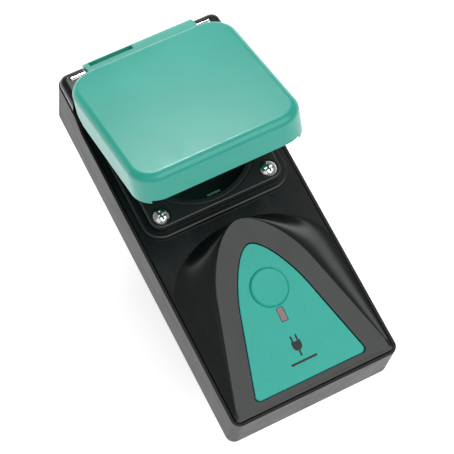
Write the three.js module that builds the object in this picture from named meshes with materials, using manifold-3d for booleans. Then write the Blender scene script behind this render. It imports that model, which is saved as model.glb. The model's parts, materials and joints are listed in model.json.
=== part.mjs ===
// Plug-in residual current adaptor: a long box that plugs straight into a wall socket, with an
// outlet under a hinged lid at its head and a sloping fin panel with a button at its foot.
// Millimetres, +Z out of the front, +Y towards the hinge, origin at the centre of the plug's end face.
import * as THREE from 'three';
import { mergeVertices } from 'three/addons/utils/BufferGeometryUtils.js';
import { ConvexGeometry } from 'three/addons/geometries/ConvexGeometry.js';
import { ParametricGeometry } from 'three/addons/geometries/ParametricGeometry.js';
import Module from 'manifold-3d';

const wasm = await Module();
wasm.setup();

// ---------- driving dimensions ----------
// housing
const housingWidth = 57.5;
const footY = -89.2;
const hingeEndY = 37.1;
const cornerRadius = 3;
const bossHeight = 18.5;
const sideHeight = 19.9;
const wall = 2.6;
const floorThickness = 2;
const bottomChamfer = 0.5;
const lipThickness = 0.9;
const seamGap = 0.35;
const ledgeDepth = 2.7;
// gaps
const gap = 0.3;
const restGap = 0.15;
// sloping fin plateau
const wedgeSlope = 0.195;
const wedgeMidRise = 5.6;
const wedgeMidY = -62;
const plateauApexY = -30.8;
const plateauShoulderX = 17.8;
const plateauShoulderY = -52;
const plateauSpread = 0.305;
const flankApexY = -29.4;
const flankShoulderY = -47;
const flankHollow = 1.7;
const plateauEndRadius = 1.4;
const coverSkin = 2.6;
const coverEdge = 1.8;
const coverProud = 0.3;
// outlet
const outletRadius = 19.75;
const outletDepth = sideHeight - 2.4;
const outletWall = 1.5;
const outletFloor = 1.8;
const flangeHalf = 23;
const flangeRadius = 4;
const flangeTopRise = 4;
const flangeThickness = 1.6;
const screwPitch = 38;
const collarHalf = 25.6;
const collarRise = 1.5;
const collarRadius = 6.6;
const flangeShankRadius = 1.55;
const flangeHeadRadius = 2.75;
const earthClipWidth = 4.6;
const guideRibWidth = 4.6;
const pinSpacing = 19;
const pinRadius = 2.4;
const pinLength = 19;
const pinHeadRadius = 3.4;
// lid
const lidHalfWidth = 28.6;
const lidFrontY = -28.4;
const lidRearY = 30.1;
const lidFrontRadius = 8.5;
const lidRearRadius = 9.5;
const lidEdgeRadius = 2.4;
const lidTopRise = 11.1;
const lidSkirtRise = 0.3;
const lidWall = 1.5;
const lidCeiling = 1.7;
const lidLugLength = 3.6;
const lidLugDrop = 1.1;
const lidOpenAngle = 28;
const lidClearance = 0.8;
// hinge
const hingeY = 33.9;
const hingeRise = 5.7;
const barrelRadius = 3.5;
const barrelHalf = 19.4;
const hingePinRadius = 1.6;
const hingeSlotRear = 1;
const hingeSlotFront = 1.4;
const hingeSlotEnd = 2.6;
const hingePinHalf = 25;
const shoulderFrontY = 23.5;
const rampStartY = 18;
const rampRise = 3.3;
// button, window and boards
const buttonY = -55.3;
const buttonRadius = 6.1;
const buttonProud = 0.9;
const buttonTravel = 1.5;
const windowY = -64.1;
const windowWidth = 2;
const windowLength = 4.2;
const boardLift = sideHeight - 15.9;
const boardThickness = 1.6;
const boardHalfWidth = 19.8;
const boardHeadY = -25;
const boardFootY = -85;
const transformerY = -39.5;
const plugBossRadius = 18.8;
const bossWall = 2.4;
const bossEnd = 3;
// screws
const housingHeadRadius = 2.7;
const housingShankRadius = 1.25;
const housingPostRadius = 3.3;
const housingPostRise = 3.2;
const coverBossRadius = 2.8;
const boardPillarRadius = 2.6;
const crossReach = 1.6;

// ---------- derived places ----------
const halfWidth = housingWidth / 2;
const backZ = bossHeight;
const floorZ = backZ + floorThickness;
const rimZ = backZ + sideHeight;
const coverInset = lipThickness + seamGap;
const coverTopZ = rimZ + coverProud;
const coverBottomZ = coverTopZ - coverEdge;
const ledgeZ = rimZ - ledgeDepth;
const flangeTopZ = rimZ + flangeTopRise;
const flangeBottomZ = flangeTopZ - flangeThickness;
const collarTopZ = rimZ + collarRise;
const wellFloorZ = flangeTopZ - outletDepth;
const wellBottomZ = wellFloorZ - outletFloor;
const wellOuter = outletRadius + outletWall;
const screwAt = screwPitch / 2;
const pinAt = pinSpacing / 2;
const hingeZ = rimZ + hingeRise;
const boardZ = floorZ + boardLift;
const boardTopZ = boardZ + boardThickness;
const slopeAngle = Math.atan(wedgeSlope);
const wedgeZ = (y) => rimZ + wedgeMidRise + wedgeSlope * (y - wedgeMidY);
const sides = [-1, 1];
const roundSides = 40;
const flankDivisions = 9;
const flankRows = 5;
const corners = [[-1, -1], [1, -1], [-1, 1], [1, 1]];

// ---------- solids and joining ----------
function solid(geometry) {
  const bare = geometry.clone();
  bare.deleteAttribute('normal');
  bare.deleteAttribute('uv');
  const merged = mergeVertices(bare, 1e-5);
  return new wasm.Manifold(new wasm.Mesh({
    numProp: 3,
    vertProperties: new Float32Array(merged.attributes.position.array),
    triVerts: new Uint32Array(merged.index.array),
  }));
}

function geometryOf(body) {
  const mesh = body.getMesh();
  const geometry = new THREE.BufferGeometry();
  geometry.setAttribute('position', new THREE.BufferAttribute(mesh.vertProperties, 3));
  geometry.setIndex(new THREE.BufferAttribute(mesh.triVerts, 1));
  geometry.computeVertexNormals();
  return geometry;
}

const join = (...bodies) => bodies.reduce((whole, body) => whole.add(body));
const cut = (body, ...tools) => tools.reduce((whole, tool) => whole.subtract(tool), body);

function box(x0, x1, y0, y1, z0, z1) {
  const geometry = new THREE.BoxGeometry(x1 - x0, y1 - y0, z1 - z0);
  return solid(geometry.translate((x0 + x1) / 2, (y0 + y1) / 2, (z0 + z1) / 2));
}

function post(radius, z0, z1, x = 0, y = 0, segments = 20) {
  const geometry = new THREE.CylinderGeometry(radius, radius, z1 - z0, segments);
  return solid(geometry.rotateX(Math.PI / 2).translate(x, y, (z0 + z1) / 2));
}

function rodX(radius, x0, x1, y, z, segments = 24) {
  const geometry = new THREE.CylinderGeometry(radius, radius, x1 - x0, segments);
  return solid(geometry.rotateZ(Math.PI / 2).translate((x0 + x1) / 2, y, z));
}

function rodY(radius, y0, y1, x, z, segments = 24) {
  const geometry = new THREE.CylinderGeometry(radius, radius, y1 - y0, segments);
  return solid(geometry.translate(x, (y0 + y1) / 2, z));
}

function prism(shape, z0, z1, curveSegments = 5) {
  const options = { depth: z1 - z0, bevelEnabled: false, curveSegments };
  return solid(new THREE.ExtrudeGeometry(shape, options).translate(0, 0, z0));
}

// A profile drawn in (y, z) and extruded along X.
function profileX(shape, x0, x1, curveSegments = 5) {
  const options = { depth: x1 - x0, bevelEnabled: false, curveSegments };
  const geometry = new THREE.ExtrudeGeometry(shape, options);
  return solid(geometry.rotateX(Math.PI / 2).rotateZ(Math.PI / 2).translate(x0, 0, 0));
}

// The convex body around outlines that each lie at their own height.
function hull(...layers) {
  const points = layers.flatMap(([outline, z]) => outline.map(([x, y]) => new THREE.Vector3(x, y, z)));
  return solid(new ConvexGeometry(points));
}

function hullOfPoints(points) {
  return solid(new ConvexGeometry(points.map(([x, y, z]) => new THREE.Vector3(x, y, z))));
}

function lathe(profile, segments = 32) {
  const points = profile.map(([r, z]) => new THREE.Vector2(r, z));
  return solid(new THREE.LatheGeometry([...points, points[0]], segments).rotateX(Math.PI / 2));
}

function roundedRect(x0, x1, y0, y1, frontRadius, rearRadius = frontRadius) {
  const shape = new THREE.Shape();
  shape.moveTo(x0 + frontRadius, y0);
  shape.lineTo(x1 - frontRadius, y0);
  shape.absarc(x1 - frontRadius, y0 + frontRadius, frontRadius, -Math.PI / 2, 0);
  shape.lineTo(x1, y1 - rearRadius);
  shape.absarc(x1 - rearRadius, y1 - rearRadius, rearRadius, 0, Math.PI / 2);
  shape.lineTo(x0 + rearRadius, y1);
  shape.absarc(x0 + rearRadius, y1 - rearRadius, rearRadius, Math.PI / 2, Math.PI);
  shape.lineTo(x0, y0 + frontRadius);
  shape.absarc(x0 + frontRadius, y0 + frontRadius, frontRadius, Math.PI, 1.5 * Math.PI);
  return shape;
}

const outlinePoints = (shape, divisions = 5) => shape.getPoints(divisions).map((p) => [p.x, p.y]);

// ---------- outlines shared by pieces that fit each other ----------
function housingOutline(inset) {
  const radius = Math.max(cornerRadius - inset, 0.6);
  const x = halfWidth - inset;
  return roundedRect(-x, x, footY + inset, hingeEndY - inset, radius);
}

function squareOutline(half, radius) {
  return roundedRect(-half, half, -half, half, radius);
}

function lidOutline(grow) {
  const x = lidHalfWidth + grow;
  const front = Math.max(lidFrontRadius + grow, 1);
  const rear = Math.max(lidRearRadius + grow, 1);
  return roundedRect(-x, x, lidFrontY - grow, lidRearY + grow, front, rear);
}

// A fin: a round nose at the head, then almost straight legs that spread towards the foot
// and, past bendY, run on parallel.
function finOutline({ apexY, shoulderX, shoulderY, spread, endY, endRadius, bendY = -Infinity }) {
  const reach = apexY - shoulderY;
  const noseHandle = 0.6 * (shoulderX - spread * reach);
  const legHandle = 0.45 * reach;
  const legX = (y) => shoulderX + spread * (shoulderY - Math.max(y, bendY));
  const endX = legX(endY);
  const cornerX = legX(endY + endRadius);
  const hasBend = Number.isFinite(bendY);
  const shape = new THREE.Shape();
  shape.moveTo(0, apexY);
  shape.bezierCurveTo(noseHandle, apexY, shoulderX - spread * legHandle, shoulderY + legHandle,
    shoulderX, shoulderY);
  if (hasBend) shape.lineTo(legX(bendY), bendY);
  shape.lineTo(cornerX, endY + endRadius);
  shape.quadraticCurveTo(endX, endY, endX - endRadius, endY);
  shape.lineTo(-endX + endRadius, endY);
  shape.quadraticCurveTo(-endX, endY, -cornerX, endY + endRadius);
  if (hasBend) shape.lineTo(-legX(bendY), bendY);
  shape.lineTo(-shoulderX, shoulderY);
  shape.bezierCurveTo(-shoulderX + spread * legHandle, shoulderY + legHandle, -noseHandle, apexY, 0, apexY);
  return shape;
}

const wedgeFoot = (inset) => ({ endY: footY + coverInset + inset, endRadius: plateauEndRadius });
const faceHalfWidth = halfWidth - coverInset;
const plateauBendY = Math.max(
  plateauShoulderY - (faceHalfWidth - plateauShoulderX) / plateauSpread,
  footY + coverInset + plateauEndRadius + coverSkin + 1,
);

function plateauOutline(inset) {
  return finOutline({
    apexY: plateauApexY - inset,
    shoulderX: plateauShoulderX - inset,
    shoulderY: plateauShoulderY,
    spread: plateauSpread,
    bendY: plateauBendY,
    ...wedgeFoot(inset),
  });
}

// Where the flanks of the plateau run out on the flat face.
function flankOutline(inset) {
  return finOutline({
    apexY: flankApexY - inset,
    shoulderX: faceHalfWidth - inset,
    shoulderY: flankShoulderY,
    spread: 0,
    bendY: plateauBendY,
    ...wedgeFoot(inset),
  });
}

function panelOutline(grow) {
  return finOutline({
    apexY: -40.6 + grow,
    shoulderX: 11.9 + grow,
    shoulderY: -59,
    spread: 0.288,
    endY: -84.9 - grow,
    endRadius: 1.5,
  });
}

// The body between two planes that follow the plateau's slope, as deep and thick as asked.
function slopedSlab(topOffset, thickness) {
  const geometry = new THREE.BoxGeometry(2 * housingWidth, 2 * housingWidth, thickness);
  geometry.translate(0, 0, -thickness / 2);
  geometry.rotateX(slopeAngle);
  return solid(geometry.translate(0, wedgeMidY, wedgeZ(wedgeMidY) + topOffset));
}

function windowBox(grow) {
  const x = windowWidth / 2 + grow;
  const y = windowLength / 2 + grow;
  return box(-x, x, windowY - y, windowY + y, boardTopZ + 6, rimZ + 20);
}

// ---------- housing ----------
function rimRampCutter(lift) {
  const shape = new THREE.Shape();
  shape.moveTo(footY - 10, rimZ + lift);
  shape.lineTo(rampStartY, rimZ + lift);
  shape.lineTo(shoulderFrontY, rimZ + rampRise + lift);
  shape.lineTo(hingeEndY + 10, rimZ + rampRise + lift);
  shape.lineTo(hingeEndY + 10, rimZ + 40);
  shape.lineTo(footY - 10, rimZ + 40);
  return profileX(shape, -housingWidth, housingWidth);
}

function barrelRecess() {
  const half = barrelHalf + gap + 0.2;
  const bottom = hingeZ - barrelRadius - 1;
  return box(-half, half, lidRearY - 4, hingeEndY + 10, bottom, rimZ + 40);
}

const screwX = halfWidth - 5.55;
const screwFootY = footY + 5.7;
const screwHeadY = hingeEndY - 6.6;
const housingScrewSpots = [
  [-screwX, screwFootY], [screwX, screwFootY], [-screwX, screwHeadY], [screwX, screwHeadY],
];
const boardScrewSpots = [[-16.5, -28.5], [14.5, -81.5]];

function rearHousing() {
  const outer = hull(
    [outlinePoints(housingOutline(bottomChamfer)), backZ],
    [outlinePoints(housingOutline(0)), backZ + bottomChamfer],
    [outlinePoints(housingOutline(0)), rimZ + rampRise],
  );
  const inside = prism(housingOutline(wall), floorZ, rimZ + 20);
  const ledge = prism(housingOutline(lipThickness), ledgeZ, rimZ + 20);
  let body = cut(outer, inside, ledge, rimRampCutter(0), barrelRecess());
  body = join(body, post(plugBossRadius, 0, floorZ, 0, 0, roundSides));
  body = cut(body, post(plugBossRadius - bossWall, bossEnd, floorZ + 1, 0, 0, roundSides));
  const posts = housingScrewSpots.map(([x, y]) => (
    post(housingPostRadius, backZ + 1, floorZ + housingPostRise, x, y, 16)));
  const pillars = boardScrewSpots.map(([x, y]) => (
    post(boardPillarRadius, backZ + 1, boardZ - restGap, x, y, 16)));
  body = join(body, ...posts, ...pillars);
  for (const [x, y] of housingScrewSpots) {
    body = cut(body, post(housingHeadRadius + gap, backZ - 1, backZ + 2.2, x, y, 16),
      post(1.8, backZ - 1, floorZ + 9, x, y, 16));
  }
  for (const [x, y] of boardScrewSpots) body = cut(body, post(1.3, floorZ - 0.8, boardZ + 1, x, y, 16));
  for (const side of sides) {
    body = cut(body, post(pinRadius + restGap, -1, bossEnd + 1, side * pinAt, 0));
    // guide groove down the side of the plug, and the channel and slot of its earth strap
    const grooveX = side * plugBossRadius;
    body = cut(body, box(grooveX - 2.2, grooveX + 2.2, -2.8, 2.8, -1, backZ - 1.5));
    const channelY = side * (plugBossRadius + 2);
    const channelIn = side * (plugBossRadius - 1.5);
    const y0 = Math.min(channelY, channelIn);
    body = cut(body, box(-2.9, 2.9, y0, y0 + 3.5, -1, 16.2));
    const slotIn = side * (plugBossRadius - 4);
    const s0 = Math.min(channelY, slotIn);
    body = cut(body, box(-2.9, 2.9, s0, s0 + 6, 14.7, 16.2));
  }
  return body;
}

function housingSeal() {
  const ring = prism(housingOutline(1.65), ledgeZ + restGap, coverBottomZ - restGap);
  return cut(ring, prism(housingOutline(2.5), ledgeZ - 1, coverTopZ));
}

function shoulder(side) {
  const low = rimZ + rampRise + gap;
  const x = (distance) => side * distance;
  const outerX = halfWidth - 0.3;
  const innerX = barrelHalf + gap + 0.2;
  const rearY = hingeEndY - 0.3;
  const lower = box(...(side > 0 ? [innerX, halfWidth - coverInset] : [coverInset - halfWidth, -innerX]),
    shoulderFrontY + 0.1, hingeEndY - coverInset, coverTopZ - 0.5, low + 0.5);
  const upper = hullOfPoints([
    [x(innerX), shoulderFrontY + 0.1, low], [x(outerX), shoulderFrontY + 0.1, low],
    [x(outerX), rearY - 2.2, low], [x(outerX - 1.9), rearY, low], [x(innerX), rearY, low],
    [x(outerX), shoulderFrontY + 0.1, rimZ + 8.6], [x(outerX), rearY - 2.4, rimZ + 5.8],
    [x(outerX - 1.9), rearY, rimZ + 5.4], [x(innerX), rearY, rimZ + 5.6],
    [x(innerX), shoulderFrontY + 0.1, rimZ + 8.9], [x(outerX - 0.3), shoulderFrontY + 0.3, rimZ + 8.9],
    [x(outerX - 2.1), rearY - 3.2, rimZ + 7.4], [x(outerX - 3), rearY - 1.2, rimZ + 7],
    [x(innerX), rearY - 1.2, rimZ + 7.2],
  ]);
  return join(lower.intersect(prism(housingOutline(coverInset), rimZ - 5, rimZ + 20)), upper);
}

// The body under the plateau. Its flanks sweep down, hollow, from the plateau's outline to the flat face.
function wedge(inset, drop) {
  const top = outlinePoints(plateauOutline(inset), flankDivisions);
  const foot = outlinePoints(flankOutline(inset), flankDivisions);
  const around = top.length - 1;
  const rows = flankRows + 2;
  const baseZ = drop > 0 ? coverBottomZ - 1 : coverTopZ - 0.2;
  const surface = (u, v, target) => {
    const row = Math.round(v * rows);
    if (row === 0) return target.set(0, wedgeMidY, baseZ);
    if (row === rows) return target.set(0, wedgeMidY, wedgeZ(wedgeMidY) - drop);
    const point = Math.round((1 - u) * around) % around;
    const height = (row - 1) / flankRows;
    const x = THREE.MathUtils.lerp(foot[point][0], top[point][0], height);
    const y = THREE.MathUtils.lerp(foot[point][1], top[point][1], height);
    const rise = wedgeZ(top[point][1]) - drop - baseZ;
    return target.set(x, y, baseZ + rise * height ** flankHollow);
  };
  return solid(new ParametricGeometry(surface, around, rows));
}

function frontCover() {
  const plate = prism(housingOutline(coverInset), coverBottomZ, coverTopZ);
  const collar = prism(squareOutline(collarHalf, collarRadius), coverBottomZ, collarTopZ);
  let body = join(plate, wedge(0, 0), collar, shoulder(-1), shoulder(1));
  body = cut(body, wedge(coverSkin, coverSkin));
  body = cut(body, prism(lidOutline(lidClearance), collarTopZ + 0.01, rimZ + 20));
  body = cut(body, cut(prism(lidOutline(lidClearance), rimZ, rimZ + 20),
    prism(squareOutline(collarHalf, collarRadius), rimZ - 1, rimZ + 30)));
  body = cut(body, barrelRecess(), post(wellOuter + gap, rimZ - 20, rimZ + 20, 0, 0, roundSides));
  body = cut(body, rodX(hingePinRadius + gap, -hingePinHalf - gap, hingePinHalf + gap, hingeY, hingeZ));
  // bosses that the outlet's screws and the housing's screws bite into
  for (const [sx, sy] of corners) {
    const [x, y] = [sx * screwAt, sy * screwAt];
    body = join(body, post(3.2, wellBottomZ + 4, coverTopZ - 0.2, x, y, 16));
    body = cut(body, post(flangeShankRadius + gap, wellBottomZ + 5, rimZ + 30, x, y, 16));
  }
  for (const [x, y] of housingScrewSpots) {
    const bossBottom = floorZ + housingPostRise + gap;
    body = join(body, post(coverBossRadius, bossBottom, coverTopZ - 0.2, x, y, 16));
    body = cut(body, post(housingShankRadius + gap, bossBottom - 1, bossBottom + 10, x, y, 16));
  }
  // recess of the fin panel, and the holes of its button and window
  const recess = prism(panelOutline(gap), rimZ - 5, rimZ + 20, 8).intersect(slopedSlab(5, 6.3));
  body = cut(body, recess, post(buttonRadius + 0.2, rimZ - 10, rimZ + 20, 0, buttonY, 32));
  return cut(body, windowBox(restGap));
}

// The two bars that cut a cross recess in a screw's head.
function crossSlots(x, y, half, z0, z1) {
  return [box(x - crossReach, x + crossReach, y - half, y + half, z0, z1),
    box(x - half, x + half, y - crossReach, y + crossReach, z0, z1)];
}

function housingScrew([x, y]) {
  const head = post(housingHeadRadius, backZ + 0.5, backZ + 2, x, y, 16);
  const shank = post(housingShankRadius, backZ + 1.5, floorZ + 11, x, y, 12);
  return cut(join(head, shank), ...crossSlots(x, y, 0.35, backZ, backZ + 1.3));
}

// ---------- outlet ----------
// Two distances from the axis, as a low and a high coordinate on the given side of it.
function fromAxis(side, near, far) {
  return side > 0 ? [near, far] : [-far, -near];
}

function outletInsert() {
  const flange = hull(
    [outlinePoints(squareOutline(flangeHalf, flangeRadius)), flangeBottomZ],
    [outlinePoints(squareOutline(flangeHalf, flangeRadius)), flangeTopZ - 0.8],
    [outlinePoints(squareOutline(flangeHalf - 0.7, flangeRadius - 0.7)), flangeTopZ],
  );
  const well = post(wellOuter, wellBottomZ, flangeTopZ - 0.5, 0, 0, roundSides);
  let body = join(flange, well);
  body = cut(body, post(outletRadius, wellFloorZ, flangeTopZ + 1, 0, 0, roundSides));
  body = cut(body, post(wellOuter + 0.6, flangeTopZ - 0.5, flangeTopZ + 1, 0, 0, roundSides));
  for (const side of sides) {
    // guide rib on the well's wall, pin hole in its floor, slot for the earth clip's arm
    const ribX = fromAxis(side, outletRadius - 1.6, outletRadius + 0.4);
    const ribHalf = guideRibWidth / 2;
    body = join(body, box(...ribX, -ribHalf, ribHalf, wellFloorZ - 0.5, flangeTopZ - 2));
    body = cut(body, post(pinRadius + 0.5, wellBottomZ - 1, wellFloorZ + 1, side * pinAt, 0));
    const slotY = fromAxis(side, outletRadius - 1.65, outletRadius - 0.1);
    const slotHalf = earthClipWidth / 2 + 0.4;
    body = cut(body, box(-slotHalf, slotHalf, ...slotY, wellBottomZ - 1, wellFloorZ + 1));
  }
  for (const [sx, sy] of corners) {
    const [x, y] = [sx * screwAt, sy * screwAt];
    body = cut(body, post(flangeHeadRadius + gap, flangeTopZ - 0.6, flangeTopZ + 1, x, y, 20));
    body = cut(body, post(flangeShankRadius + gap, flangeBottomZ - 1, flangeTopZ, x, y, 16));
  }
  return body;
}

function outletGasket() {
  const sheet = prism(squareOutline(flangeHalf - gap, flangeRadius),
    collarTopZ + restGap, flangeBottomZ - restGap);
  let body = cut(sheet, post(wellOuter + gap, rimZ - 5, rimZ + 9, 0, 0, roundSides));
  for (const [sx, sy] of corners) {
    body = cut(body, post(flangeShankRadius + gap, rimZ - 5, rimZ + 9, sx * screwAt, sy * screwAt, 16));
  }
  return body;
}

function flangeScrew([sx, sy]) {
  const [x, y] = [sx * screwAt, sy * screwAt];
  const seat = flangeTopZ - 0.6 + restGap;
  const rim = flangeHeadRadius;
  const head = lathe([[0, seat], [rim - 0.1, seat], [rim, seat + 0.5], [0.8 * rim, seat + 1.3],
    [0.44 * rim, seat + 1.75], [0, seat + 1.85]], 16);
  const shank = post(flangeShankRadius, wellBottomZ + 7, seat + 0.3, 0, 0, 12);
  const slots = crossSlots(0, 0, 0.3, seat + 0.8, seat + 3);
  return geometryOf(cut(join(head, shank), ...slots)).translate(x, y, 0);
}

function socketSleeve(side) {
  const top = wellBottomZ - gap;
  const low = bossEnd + 5;
  const tube = post(3.1, low, top, side * pinAt, 0, 20);
  return cut(tube, post(2.35, low + 1, top + 1, side * pinAt, 0, 20),
    box(side * pinAt - 0.3, side * pinAt + 0.3, -4, 4, low + 3, top + 1));
}

// A bow under the outlet's floor, with an arm up each side that bulges towards the plug.
function outletEarthClip() {
  const thick = 0.7;
  const y = outletRadius - 0.55;
  const base = wellBottomZ - 0.35;
  const low = wellFloorZ + 2;
  const top = flangeTopZ - 2.5;
  const bulge = 1.9;
  const lean = 0.6;
  const side = [[y, base - thick], [y, low], [y - bulge, (low + top) / 2], [y - lean, top - 1],
    [y - lean, top]];
  const shape = new THREE.Shape();
  shape.moveTo(0, base - thick);
  side.forEach(([a, b]) => shape.lineTo(a, b));
  side.slice(1).reverse().forEach(([a, b]) => shape.lineTo(a - thick, b));
  shape.lineTo(y - thick, base);
  shape.lineTo(thick - y, base);
  side.slice(1).forEach(([a, b]) => shape.lineTo(thick - a, b));
  [...side].reverse().forEach(([a, b]) => shape.lineTo(-a, b));
  return profileX(shape, -earthClipWidth / 2, earthClipWidth / 2);
}

// ---------- plug ----------
function plugPin(side) {
  const tip = -pinLength;
  const seat = bossEnd + restGap;
  const headTop = bossEnd + 1.8;
  const body = lathe([[0, tip], [1.5, tip], [2.1, tip + 0.8], [pinRadius, tip + 2], [pinRadius, seat],
    [pinHeadRadius, seat], [pinHeadRadius, headTop], [0, headTop]], 20);
  return geometryOf(body).translate(side * pinAt, 0, 0);
}

function plugEarthStrap() {
  const thick = 0.8;
  const outer = plugBossRadius - 0.4;
  const bar = box(-2.4, 2.4, -outer, outer, 15, 15 + thick);
  const plates = sides.map((side) => {
    const y = side > 0 ? [outer - thick, outer] : [-outer, thick - outer];
    return box(-2.4, 2.4, ...y, 2.5, 15 + thick);
  });
  return join(bar, ...plates);
}

function earthLink() {
  return post(1.5, 15.8 + restGap, wellBottomZ - 1.05 - restGap, 0, 0, 16);
}

// ---------- fin panel, button, window ----------
function finPanel() {
  const sheet = prism(panelOutline(0), rimZ - 5, rimZ + 20, 8).intersect(slopedSlab(-0.05, 1.1));
  return cut(sheet, post(buttonRadius + restGap, rimZ - 10, rimZ + 20, 0, buttonY, 32), windowBox(restGap));
}

const switchTopZ = boardTopZ + 5;

function button() {
  const cap = post(buttonRadius, rimZ - 8, rimZ + 20, 0, buttonY, 32).intersect(slopedSlab(buttonProud, 6));
  const bevelBody = post(buttonRadius - 0.6, rimZ - 8, rimZ + 20, 0, buttonY, 32)
    .intersect(slopedSlab(buttonProud, 6));
  const lowCap = cap.intersect(slopedSlab(buttonProud - 0.5, 6));
  const flange = post(buttonRadius + 1.1, rimZ - 8, rimZ + 20, 0, buttonY, 32)
    .intersect(slopedSlab(-coverSkin - gap, 1.2));
  const notchEnd = windowY + windowLength / 2 + 0.8;
  const lensNotch = box(-windowWidth, windowWidth, windowY, notchEnd, rimZ - 8, rimZ + 9);
  const neck = post(buttonRadius - 0.6, rimZ - 8, rimZ + 20, 0, buttonY, 32).intersect(slopedSlab(-1, 3));
  const stem = post(2, switchTopZ + buttonTravel + gap, rimZ + 4, 0, buttonY, 16);
  return join(cut(flange, lensNotch), lowCap, bevelBody, neck, stem);
}

// A closed tube that follows a curve: wire, winding or spring.
function tube(curve, radius, steps, tubeSides = 6) {
  const section = new THREE.Shape();
  section.absarc(0, 0, radius, 0, 2 * Math.PI);
  const options = { steps, extrudePath: curve, curveSegments: tubeSides / 2, bevelEnabled: false };
  return solid(new THREE.ExtrudeGeometry(section, options));
}

class CoilCurve extends THREE.Curve {
  constructor(radius, turns, z0, z1, x, y) {
    super();
    Object.assign(this, { radius, turns, z0, z1, x, y });
  }

  getPoint(t, target = new THREE.Vector3()) {
    const angle = 2 * Math.PI * this.turns * t;
    return target.set(this.x + this.radius * Math.cos(angle), this.y + this.radius * Math.sin(angle),
      this.z0 + (this.z1 - this.z0) * t);
  }
}

class RingWindingCurve extends THREE.Curve {
  constructor(ringRadius, loopAcross, loopAlong, turns, arc) {
    super();
    Object.assign(this, { ringRadius, loopAcross, loopAlong, turns, arc });
  }

  getPoint(t, target = new THREE.Vector3()) {
    const round = this.arc * (t - 0.5) + Math.PI / 2;
    const loop = 2 * Math.PI * this.turns * t;
    const reach = this.ringRadius + this.loopAcross * Math.cos(loop);
    return target.set(reach * Math.cos(round), this.loopAlong * Math.sin(loop), reach * Math.sin(round));
  }
}

function buttonSpring() {
  const wire = 0.4;
  const top = wedgeZ(buttonY - 5) - coverSkin - gap - 1.2 - 1.4;
  return tube(new CoilCurve(5.2, 5, boardTopZ + wire + 0.2, top - wire - 0.2, 0, buttonY), wire, 60, 5);
}

function indicatorLens() {
  return windowBox(0).intersect(slopedSlab(-0.1, 40));
}

// ---------- circuit board and what stands on it ----------
function circuitBoard() {
  const sheet = roundedRect(-boardHalfWidth, boardHalfWidth, boardFootY, boardHeadY, 1);
  let body = prism(sheet, boardZ, boardTopZ, 2);
  for (const [x, y] of boardScrewSpots) body = cut(body, post(1.6, boardZ - 1, boardTopZ + 1, x, y, 12));
  return body;
}

function boardScrew([x, y]) {
  const head = post(2.2, boardTopZ + restGap, boardTopZ + 1.5, x, y, 16);
  const shank = post(1, floorZ, boardTopZ + 0.5, x, y, 12);
  return cut(join(head, shank), box(x - 1.4, x + 1.4, y - 0.3, y + 0.3, boardTopZ + 0.9, boardTopZ + 3));
}

function pushSwitch() {
  return join(box(-3, 3, buttonY - 3, buttonY + 3, boardTopZ + restGap, boardTopZ + 3.6),
    post(1.7, boardTopZ + 3, switchTopZ, 0, buttonY, 16));
}

function indicatorLamp() {
  return join(post(1.5, boardTopZ + restGap, boardTopZ + 4.6, 0, windowY, 16),
    post(1.8, boardTopZ + restGap, boardTopZ + 1.2, 0, windowY, 16));
}

const coreZ = boardTopZ + 9.6;

function transformerCore() {
  const ring = rodY(7.7, transformerY - 2.7, transformerY + 2.7, 0, coreZ, 28);
  return cut(ring, rodY(4.5, transformerY - 4, transformerY + 4, 0, coreZ, 28));
}

function transformerWinding() {
  const turns = 13;
  const curve = new RingWindingCurve(6.1, 2.75, 4.3, turns, 1.5 * Math.PI);
  const geometry = geometryOf(tube(curve, 0.35, turns * 9, 4));
  return geometry.translate(0, transformerY, coreZ);
}

const wire = (points, radius = 0.85, steps = 30) => tube(
  new THREE.CatmullRomCurve3(points.map(([x, y, z]) => new THREE.Vector3(x, y, z)), false, 'centripetal'),
  radius, steps, 6);

// From the plug pin's head, up the inside of the plug, under the outlet and through the ring core.
function feedWire(side) {
  return wire([
    [side * pinAt, -4.6, bossEnd + 1.3], [side * 8.6, -9, bossEnd + 2], [side * 6.4, -12.6, 9],
    [side * 5.2, -13, 15], [side * 4.8, -13.4, 19.6], [side * 4.6, -14.8, 21.4],
    [side * 4.3, -17.5, (floorZ + wellBottomZ) / 2],
    [side * 4, -21, (floorZ + wellBottomZ) / 2 + 0.2], [side * 3.8, -23, 25.5], [side * 3, -25.5, 30],
    [side * 1.5, -31, coreZ - 0.2], [side * 1.3, -38, coreZ], [side * 1.5, -44, coreZ - 0.5],
    [side * 3, -47.5, coreZ - 4], [side * 3.2, -48.2, boardTopZ + 0.5],
  ], 0.85, 36);
}

// From the board's edge back under the outlet to the socket sleeve.
function loadWire(side) {
  return wire([
    [side * 12.6, -29, boardTopZ + 0.5], [side * 12.6, -28, boardTopZ + 3],
    [side * 12.4, -24.6, boardTopZ + 2.6],
    [side * 12, -21.6, 25], [side * 11.6, -19, (floorZ + wellBottomZ) / 2 + 0.1],
    [side * 10.6, -13.5, (floorZ + wellBottomZ) / 2], [side * 10, -10.6, 20.2], [side * 9.8, -8.4, 16],
    [side * pinAt, -4.6, 11],
  ], 0.85, 26);
}

// relay: coil on a core in an L-shaped yoke, with an armature that closes both poles
const relayX = -10.5;
const relayZ = boardTopZ + 5.4;
const armatureY = -71;
const armaturePivotX = -18.3;
const relayStroke = 5;

function relayYoke() {
  return join(box(-19.3, -18, -85, armatureY - 0.7, relayZ - 4.6, relayZ + 4.6),
    box(-19.3, relayX + 4, -85, -83.8, relayZ - 4.6, relayZ + 4.6),
    rodY(1.8, -84.5, armatureY - 1, relayX, relayZ, 20));
}

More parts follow.
